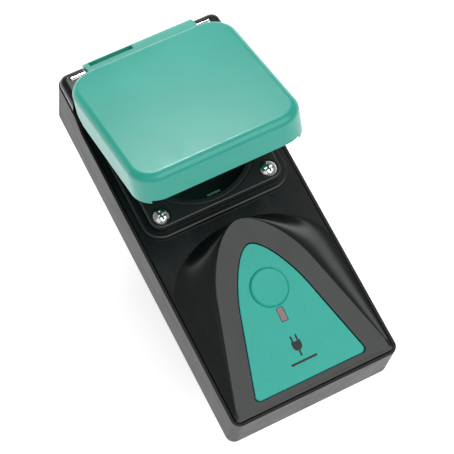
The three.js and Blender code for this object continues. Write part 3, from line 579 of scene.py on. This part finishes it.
def shoulder(side):        # the raised corner beside the hinge, and the foot it stands on
    low = rimZ + housing["rampRise"] + 0.3
    inner, outer = hinge["half"] - 2.5, housing["halfWidth"] - 0.3
    front, rear = rearShell["rampEndY"] - 3, housing["headY"] - 0.3
    edge, top, slope = 2.2, rimZ + 8.9, 0.14

    def ring(inset, height):
        outline = roundedRect(inner + inset, outer - inset, front + inset, rear - inset, 0.8, max(3 - inset, 1))
        return [(side * x, y, height(y)) for x, y in outline]

    rings = [ring(0, lambda y: low)]
    for inset, drop in roundSteps(edge, 7):
        rings.append(ring(inset, lambda y, drop=drop: top - slope * (y - front - 3) - drop))
    xs = sorted((side * (hinge["half"] + 0.55), side * (faceHalf - 0.01)))
    foot = block(*xs, rearShell["rampEndY"] + 0.12, housing["headY"] - housing["lip"] - housing["seam"] - 0.01,
                 coverTop - 0.5, low + 0.6)
    return loft("shoulder", rings), foot


def makeFrontCover():
    bottom = coverTop - cover["edge"]
    plate = slab(lambda inset: housingOutline(housing["lip"] + housing["seam"] + inset), bottom, coverTop, top=0.25)
    collar = slab(lambda inset: square(cover["collarHalf"] - inset, cover["collarRadius"] - inset),
                  bottom, rimZ + cover["collarRise"], top=0.9)
    body = join(plate, wedge(0, 0, cover["plateauSoft"]), collar, *shoulder(-1), *shoulder(1))
    body = cut(body, wedge(cover["skin"], cover["skin"], 0, 10))
    seat = lidOutline(lidSize["clearance"])
    island = prism(square(cover["collarHalf"], cover["collarRadius"]), rimZ - 1, rimZ + cover["collarRise"] + 0.01)
    body = cut(body, cut(prism(seat, rimZ, rimZ + 20), island), barrelRecess())
    wellHole = post((insertHigh.x - insertLow.x) / 2 - 23 + 21.55, rimZ - 20, rimZ + 20)
    pinHole = rodX(hinge["pinRadius"] + 0.3, -25.3, 25.3, hingeY, hingeZ)
    recess = keep(prism(panelOutline(0.3), rimZ - 5, rimZ + 20), slopedSlab(5, 6.3))
    buttonHole = post(6.3, rimZ - 10, rimZ + 20, 0, buttonSpot.y)
    lensLow, lensHigh = corners("indicator_lens")
    window = block(lensLow.x - 0.15, lensHigh.x + 0.15, lensLow.y - 0.15, lensHigh.y + 0.15, rimZ - 10, rimZ + 20)
    body = cut(body, wellHole, pinHole, recess, buttonHole, window)
    return finishPiece(body, "front_cover_moulding", "housing", finishes["cover_black"],
                       ["front_cover"], 28)


# ---------- fin panel, button, printed sign ----------
buttonSpot = centre("button")
buttonSize = {"radius": 6.1, "proud": 0.9, "edge": 0.85, "dish": 0.12}


def makeFinPanel():
    sheet = loft("sheet", [[(x, y, wedgeZ(y) - 1.15) for x, y in panelOutline(0)]]
                 + [[(x, y, wedgeZ(y) - 0.05 - drop) for x, y in panelOutline(-inset)]
                    for inset, drop in roundSteps(0.3, 3)])
    lensLow, lensHigh = corners("indicator_lens")
    hole = post(buttonSize["radius"] + 0.07, rimZ - 10, rimZ + 20, 0, buttonSpot.y)
    window = block(lensLow.x - 0.15, lensHigh.x + 0.15, lensLow.y - 0.15, lensHigh.y + 0.15, rimZ - 10, rimZ + 20)
    body = cut(sheet, hole, window)
    bevel(body, 0.12, 2)
    return finishPiece(body, "fin_label", "housing", finishes["panel_green"], ["fin_panel"])


def makeButton():
    size = buttonSize
    y = buttonSpot.y
    rings = []
    profile = [(size["radius"], -2.4)] + [(size["radius"] - inset, size["proud"] - drop)
                                          for inset, drop in roundSteps(size["edge"], 5)]
    profile += [(size["radius"] * share, size["proud"] - size["dish"] * (1 - share ** 2) * 1.2)
                for share in (0.8, 0.6, 0.4, 0.2, 0.01)]
    for radius, rise in profile:
        rings.append([(x, yy, wedgeZ(yy) + rise) for x, yy in circle(0, y, radius)])
    cap = loft("cap", rings)
    low, high = corners("button")
    flange = keep(post(size["radius"] + 1.05, rimZ - 8, rimZ + 20, 0, y), slopedSlab(-2.9, 1.2))
    notch = block(-2, 2, -64.1, -61.2, rimZ - 8, rimZ + 9)
    stem = post(2, low.z, rimZ + 4.5, 0, y, 32)
    neck = keep(post(size["radius"] - 0.6, rimZ - 8, rimZ + 20, 0, y), slopedSlab(-1.6, 2.2))
    body = join(cut(flange, notch), cap, neck, stem)
    return finishPiece(body, "button_cap", "button", finishes["panel_green"], ["button"])


def makeSign():        # a plain printed plug sign on the foil
    size = {"y": -74.6, "width": 3.1, "prong": 0.55, "lift": 0.03}
    outlines = [
        [(x, y) for x, y in arc(0, size["y"], size["width"] / 2, 180, 360, 20)] + [
            (size["width"] / 2, size["y"] + 1.5), (-size["width"] / 2, size["y"] + 1.5)],
        [(-1.15, size["y"] + 1.5), (-0.55, size["y"] + 1.5), (-0.55, size["y"] + 3.4), (-1.15, size["y"] + 3.4)],
        [(0.55, size["y"] + 1.5), (1.15, size["y"] + 1.5), (1.15, size["y"] + 3.4), (0.55, size["y"] + 3.4)],
        [(-0.3, size["y"] - 3.3), (0.3, size["y"] - 3.3), (0.3, size["y"] - 1.4), (-0.3, size["y"] - 1.4)],
        [(-4.4, size["y"] - 5.2), (4.4, size["y"] - 5.2), (4.4, size["y"] - 4.5), (-4.4, size["y"] - 4.5)],
    ]
    shapes = [loft("ink", [[(x, y, wedgeZ(y) - 0.06 + rise) for x, y in outline] for rise in (0, size["lift"])])
              for outline in outlines]
    body = join(shapes[0], *shapes[1:])
    return finishPiece(body, "printed_sign", "housing", inkBlack, [])


# ---------- outlet ----------
def makeOutlet():
    half = (insertHigh.x - insertLow.x) / 2
    top = insertHigh.z
    well, outer, depth = 19.75, 21.25, 17.5
    flange = slab(lambda inset: square(half - inset, 4 - inset), top - 1.6, top, top=0.8)
    ring = slab(lambda inset: circle(0, 0, outer - inset), insertLow.z, top - 0.5, top=0.3)
    body = join(flange, ring)
    body = cut(body, post(outer + 0.6, top - 0.5, top + 1))
    body = join(body, slab(lambda inset: circle(0, 0, outer - inset), top - 1.4, top - 0.25, top=0.25))
    body = cut(body, post(well, top - depth, top + 1))
    ribs, holes = [], []
    for side in (-1, 1):
        xs = sorted((side * (well - 1.6), side * (well + 0.4)))
        ribs.append(bevel(block(*xs, -2.3, 2.3, top - depth - 0.5, top - 2), 0.4, 3))
        holes.append(post(2.9, insertLow.z - 1, top - depth + 1, side * pinAt, 0, 48))
        ys = sorted((side * (well - 1.65), side * (well - 0.1)))
        holes.append(block(-2.7, 2.7, *ys, insertLow.z - 1, top - depth + 1))
    for x in (-19, 19):
        for y in (-19, 19):
            holes.append(post(3.05, top - 0.6, top + 1, x, y, 48))
            holes.append(post(1.85, top - 3, top + 1, x, y, 32))
    body = cut(join(body, *ribs), *holes)
    bevel(body, 0.16, 2, 50)
    return finishPiece(body, "outlet_moulding", "housing", finishes["insert_black"],
                       ["outlet_insert"])


# ---------- lid ----------
def lidPlace():        # from the closed lid to the lid as it stands at rest
    pivot = Vector(lidJoint["pos_m"])
    return Matrix.Translation(pivot) @ Matrix.Rotation(-lidAngle, 4, "X") @ Matrix.Translation(-pivot)


def domed(inset, radius, top, steps=9):
    return [level(lidOutline(-inset - step), top - drop) for step, drop in roundSteps(radius, steps)]


def makeLid():
    size = lidSize
    top = rimZ + size["topRise"]
    outer = loft("lid", [level(lidOutline(0), rimZ)] + domed(0, size["edge"], top))
    inner = loft("hollow", [level(lidOutline(-size["wall"]), rimZ - 1)]
                 + domed(size["wall"], size["edge"] - size["wall"], top - size["ceiling"]))
    body = keep(cut(outer, inner), rampRegion(size["skirtRise"]))
    lugX = size["halfWidth"] - size["lugLength"]
    notch = block(-lugX, lugX, size["frontY"] - 2, size["frontY"] + size["wall"] + 1, rimZ - 2,
                  rimZ + size["skirtRise"] + size["lugDrop"])
    body = cut(body, notch)
    points = []
    for x in (-hinge["half"], hinge["half"]):
        points += [(x, size["rearY"] - 2.6, top - 0.8), (x, size["rearY"] - 1.2, top - 5.5)]
        points += [(x, y, z) for y, z in circle(hingeY, hingeZ, hinge["radius"], 48)]
    tab = bevel(hull(points), 0.25, 3, 30)
    body = join(body, tab)
    bore = rodX(hinge["pinRadius"] + 0.3, -hinge["half"] - 1, hinge["half"] + 1, hingeY, hingeZ)
    slot = block(-hinge["half"] + 1.6, -hinge["slotEnd"], hingeY - 1.4, hingeY + 1, hingeZ, hingeZ + 6)
    body = cut(body, bore, slot)
    bevel(body, 0.2, 2, 45)
    body.data.transform(lidPlace())
    return finishPiece(body, "lid_shell", "lid", finishes["lid_green"], ["lid"], 26)


def makeLidGasket():
    size = {"outer": 23.2, "inner": 21, "gap": 0.3}
    low = insertHigh.z + size["gap"]
    top = rimZ + lidSize["topRise"] - lidSize["ceiling"] - size["gap"]
    body = cut(slab(lambda inset: circle(0, 0, size["outer"] - inset), low, top, top=0.01, bottom=0.5),
               post(size["inner"], low - 1, top + 1))
    bevel(body, 0.2, 2, 45)
    body.data.transform(lidPlace())
    return finishPiece(body, "lid_gasket_ring", "lid", finishes["seal_rubber"], ["lid_gasket"])


# ---------- plug ----------
def makePlugPin(name):
    low, high = corners(name)
    x = (low.x + high.x) / 2
    radius, tip = 2.4, low.z
    profile = [(0, tip)] + [(radius - inset, tip + drop) for inset, drop in reversed(roundSteps(1.4, 8))]
    profile += [(radius, -10.2), (radius - 0.12, -10), (radius - 0.12, -9.6), (radius, -9.4), (radius, 3.1),
                (3.4, 3.15), (3.4, high.z - 0.2), (3.2, high.z), (0, high.z)]
    body = lathe(name + "_turned", profile, x, 0)
    return finishPiece(body, name + "_turned", "housing", finishes["pin_nickel"], [name])


def makeHingePin():
    low, high = corners("hinge_pin")
    radius = hinge["pinRadius"]
    rings = [[(low.x + drop, y, z) for y, z in circle(hingeY, hingeZ, radius - inset, 40)]
             for inset, drop in reversed(roundSteps(0.3, 4))]
    rings += [[(high.x - drop, y, z) for y, z in circle(hingeY, hingeZ, radius - inset, 40)]
              for inset, drop in roundSteps(0.3, 4)]
    return finishPiece(loft("pin", rings), "hinge_pin_turned", "housing",
                       finishes["screw_chrome"], ["hinge_pin"])


# ---------- screws, by Geometry Nodes ----------
class Tree:        # a Geometry Nodes tree with named inputs
    def __init__(self, name, inputs):
        self.group = bpy.data.node_groups.new(name, "GeometryNodeTree")
        face = self.group.interface
        face.new_socket("Geometry", in_out="INPUT", socket_type="NodeSocketGeometry")
        for label, kind in inputs.items():
            face.new_socket(label, in_out="INPUT", socket_type="NodeSocket" + kind)
        face.new_socket("Geometry", in_out="OUTPUT", socket_type="NodeSocketGeometry")
        self.inputs = self.group.nodes.new("NodeGroupInput")
        self.outputs = self.group.nodes.new("NodeGroupOutput")

    def node(self, kind, settings=None, values=None, output=0):
        made = self.group.nodes.new(kind)
        for name, value in (settings or {}).items():
            setattr(made, name, value)
        for name, value in (values or {}).items():
            for item in value if isinstance(value, list) else [value]:
                if isinstance(item, bpy.types.NodeSocket):
                    self.group.links.new(item, made.inputs[name])
                else:
                    made.inputs[name].default_value = item
        return made.outputs[output]

    def given(self, label):
        return self.inputs.outputs[label]

    def maths(self, operation, first, second):
        return self.node("ShaderNodeMath", {"operation": operation}, {0: first, 1: second})

    def vector(self, x=0.0, y=0.0, z=0.0):
        return self.node("ShaderNodeCombineXYZ", values={"X": x, "Y": y, "Z": z})

    def finish(self, geometry, material):
        real = self.node("GeometryNodeRealizeInstances", values={"Geometry": geometry})
        done = self.node("GeometryNodeSetMaterial", values={"Geometry": real, "Material": material})
        self.group.links.new(done, self.outputs.inputs[0])
        return self.group


def screwTree():
    """A domed head with a cross recess on a plain shank, at every point, each turned its own way."""
    tree = Tree("crossScrews", {"Head Radius": "Float", "Head Height": "Float", "Rim": "Float",
                                "Dome Radius": "Float", "Slot Width": "Float", "Slot Length": "Float",
                                "Slot Depth": "Float", "Shank Radius": "Float", "Shank Length": "Float",
                                "Facing": "Float", "Seed": "Int", "Finish": "Material"})
    headTop = tree.maths("ADD", tree.given("Head Height"), tree.given("Rim"))
    drum = tree.node("GeometryNodeMeshCylinder", values={
        "Vertices": 48, "Radius": tree.given("Head Radius"), "Depth": tree.maths("MULTIPLY", headTop, 2.0)})
    dome = tree.node("GeometryNodeMeshUVSphere", values={
        "Segments": 64, "Rings": 48, "Radius": tree.given("Dome Radius")})
    domeDrop = tree.maths("SUBTRACT", headTop, tree.given("Dome Radius"))
    dome = tree.node("GeometryNodeTransform", values={"Geometry": dome, "Translation": tree.vector(z=domeDrop)})
    head = tree.node("GeometryNodeMeshBoolean", {"operation": "INTERSECT"}, {"Mesh 2": [drum, dome]})
    belowSize = tree.vector(0.1, 0.1, 0.1)
    below = tree.node("GeometryNodeMeshCube", values={"Size": belowSize})
    below = tree.node("GeometryNodeTransform", values={"Geometry": below, "Translation": tree.vector(z=-0.05)})
    head = tree.node("GeometryNodeMeshBoolean", {"operation": "DIFFERENCE"}, {"Mesh 1": head, "Mesh 2": below})
    slots = []
    for alongX in (True, False):
        long, short = tree.given("Slot Length"), tree.given("Slot Width")
        depth = tree.maths("MULTIPLY", tree.given("Slot Depth"), 2.0)
        size = tree.vector(long if alongX else short, short if alongX else long, depth)
        arm = tree.node("GeometryNodeMeshCube", values={"Size": size})
        slots.append(tree.node("GeometryNodeTransform",
                               values={"Geometry": arm, "Translation": tree.vector(z=headTop)}))
    head = tree.node("GeometryNodeMeshBoolean", {"operation": "DIFFERENCE"}, {"Mesh 1": head, "Mesh 2": slots})
    shank = tree.node("GeometryNodeMeshCylinder", values={
        "Vertices": 32, "Radius": tree.given("Shank Radius"), "Depth": tree.given("Shank Length")})
    shankDrop = tree.maths("MULTIPLY", tree.given("Shank Length"), -0.5)
    lift = tree.maths("ADD", shankDrop, 0.0002)
    shank = tree.node("GeometryNodeTransform", values={"Geometry": shank, "Translation": tree.vector(z=lift)})
    screw = tree.node("GeometryNodeMeshBoolean", {"operation": "UNION"}, {"Mesh 2": [head, shank]})
    turn = tree.node("FunctionNodeRandomValue", {"data_type": "FLOAT"},
                     {2: 0.0, 3: math.pi, "Seed": tree.given("Seed")}, output=1)
    rotation = tree.vector(x=tree.given("Facing"), z=turn)
    placed = tree.node("GeometryNodeInstanceOnPoints", values={
        "Points": tree.given("Geometry"), "Instance": screw, "Rotation": rotation})
    return tree.finish(placed, tree.given("Finish"))


def points(name, places):
    mesh = bmesh.new()
    for place in places:
        mesh.verts.new(Vector(place) * unit)
    return meshObject(name, mesh)


def runTree(body, tree, values):
    modifier = body.modifiers.new("tree", "NODES")
    modifier.node_group = tree
    for item in tree.interface.items_tree:
        if item.in_out == "INPUT" and item.name in values:
            modifier[item.identifier] = values[item.name]
    return settle(body)


def makeScrews(name, nodes, places, slot, tree, sizes, facing=0.0, seed=3):
    body = points(name, places)
    lengths = {label: value * unit for label, value in sizes.items()}
    rim, height = sizes["Rim"], sizes["Head Height"]
    dome = (sizes["Head Radius"] ** 2 + height ** 2) / (2 * height)
    runTree(body, tree, {**lengths, "Dome Radius": dome * unit, "Rim": rim * unit, "Facing": facing, "Seed": seed,
                         "Finish": finishes[slot]})
    bevel(body, 0.07, 2, 45)
    return finishPiece(body, name, "housing", finishes[slot], nodes, 30)


def makeAllScrews():
    tree = screwTree()
    flange = [f"flange_screw_{i}" for i in range(1, 5)]
    top = corners(flange[0])[1].z
    makeScrews("outlet_screws", flange, [(centre(n).x, centre(n).y, top - 1.85) for n in flange], "screw_chrome",
               tree, {"Head Radius": 2.7, "Head Height": 1.35, "Rim": 0.45, "Slot Width": 0.62,
                      "Slot Length": 3.1, "Slot Depth": 1.15, "Shank Radius": 1.5, "Shank Length": 8}, seed=5)
    rear = [f"housing_screw_{i}" for i in range(1, 5)]
    low = corners(rear[0])[0].z
    makeScrews("casing_screws", rear, [(centre(n).x, centre(n).y, low + 1.5) for n in rear], "steel",
               tree, {"Head Radius": 2.6, "Head Height": 0.9, "Rim": 0.5, "Slot Width": 0.6,
                      "Slot Length": 3, "Slot Depth": 0.9, "Shank Radius": 1.2, "Shank Length": 10},
               facing=math.pi, seed=8)
    print("screws made")


makeRearShell()
makeFrontCover()
print("housing made")
makeFinPanel()
makeButton()
makeSign()
makeOutlet()
print("panel and outlet made")
makeLid()
makeLidGasket()
makeHingePin()
for pin in ("plug_pin_line", "plug_pin_neutral"):
    makePlugPin(pin)
print("lid and plug made")
makeAllScrews()


# ---------- floor, light, camera ----------
studio = {"floorDrop": 0.3, "worldShade": 0.26}


def makeFloor():
    low = corners("plug_pin_line")[0].z - studio["floorDrop"]
    floor = prism(circle(0, 0, 3000), low - 5, low)
    finish = Finish("paleFloor", Roughness=0.9, Specular_IOR_Level=0.1, Emission_Strength=0.75)
    cloud = finish.noise(400, 2)
    shade = finish.mix(cloud, colour(0.86, 0.86, 0.86), colour(0.9, 0.9, 0.9))
    floor.name = "studio_floor"
    floor.data.materials.append(finish.wire(Base_Color=shade, Emission_Color=shade))


def makeWorld():
    world = bpy.data.worlds.new("studio")
    bpy.context.scene.world = world
    world.use_nodes = True
    shade = studio["worldShade"]
    background = next(n for n in world.node_tree.nodes if n.type == "BACKGROUND")
    background.inputs["Color"].default_value = (shade, shade, shade, 1)


def softbox(name, direction, distance, width, height, power):
    light = bpy.data.lights.new(name, "AREA")
    light.shape = "RECTANGLE"
    light.size, light.size_y, light.energy = width, height, power
    lamp = bpy.data.objects.new(name, light)
    bpy.context.scene.collection.objects.link(lamp)
    aim = Vector((0, -0.025, 0.03))
    towards = Vector(direction).normalized()
    lamp.location = aim + towards * distance
    lamp.rotation_mode = "QUATERNION"
    lamp.rotation_quaternion = towards.to_track_quat("Z", "Y")
    return lamp


def makeCamera():
    view = {"aim": (-1.45, -30.33, 40), "distance": 583.8, "azimuth": -39.77, "elevation": 69.13,
            "roll": 13.4, "lens": 147.4}
    camera = bpy.data.cameras.new("camera")
    camera.lens = view["lens"]
    camera.clip_start = 0.01
    shooter = bpy.data.objects.new("camera", camera)
    bpy.context.scene.collection.objects.link(shooter)
    turn = (Matrix.Rotation(math.radians(view["azimuth"]), 4, "Z")
            @ Matrix.Rotation(math.radians(90 - view["elevation"]), 4, "X")
            @ Matrix.Rotation(math.radians(view["roll"]), 4, "Z"))
    back = turn @ Vector((0, 0, 1))
    shooter.matrix_world = Matrix.Translation((Vector(view["aim"]) + back * view["distance"]) * unit) @ turn
    bpy.context.scene.camera = shooter


makeFloor()
makeWorld()
softbox("overhead", (0.25, -0.42, 1), 1.1, 1.2, 1.0, 7.6)
softbox("key", (0.15, 0.85, 0.5), 0.337, 0.08, 0.06, 0.36)
softbox("glint", (0.07, 0.67, 0.74), 0.345, 0.06, 0.05, 0.05)
softbox("side", (-1, -0.5, 0.9), 1.2, 1.0, 0.8, 1.6)
makeCamera()
bpy.context.scene.view_settings.view_transform = "Standard"

print("scene ready")
